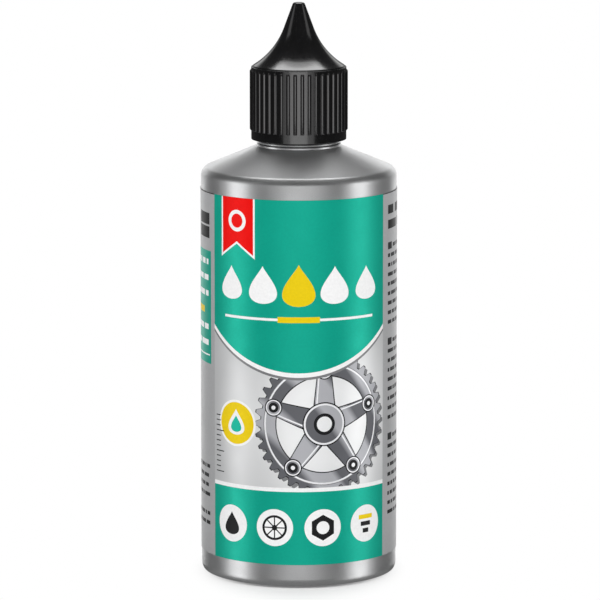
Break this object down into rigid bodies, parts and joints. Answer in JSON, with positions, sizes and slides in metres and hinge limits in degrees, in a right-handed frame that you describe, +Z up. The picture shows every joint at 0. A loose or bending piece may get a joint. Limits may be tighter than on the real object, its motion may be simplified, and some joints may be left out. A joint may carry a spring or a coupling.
{
  "type": "chain lube bottle",
  "caption": "Squeeze bottle for chain lubricant: silver plastic body with a wrap-around printed label, a dropper spout in its neck and a pointed black screw cap with a ribbed skirt.",
  "frame": {"origin": "centre of the ring that the bottle stands on", "axes": "+Z up along the bottle's axis to the tip of the cap; the front of the label faces -Y; +X is to the right as seen from the front"},
  "size_m": [0.042, 0.042, 0.1229],
  "materials": {
    "silver_plastic": "satin silver-pigmented polyethylene",
    "printed_film": "printed film with a soft gloss",
    "natural_plastic": "natural milky polyethylene",
    "black_plastic": "moulded black plastic, satin gloss"
  },
  "bodies": {
    "bottle": {"bottle": "silver_plastic", "label": "printed_film", "dropper_insert": "natural_plastic"},
    "cap": {"cap": "black_plastic"}
  },
  "joints": [
    {"name": "cap_lift", "type": "slide", "parent": "bottle", "child": "cap", "axis": [0, 0, 1], "range_m": [0, 0.03]}
  ]
}
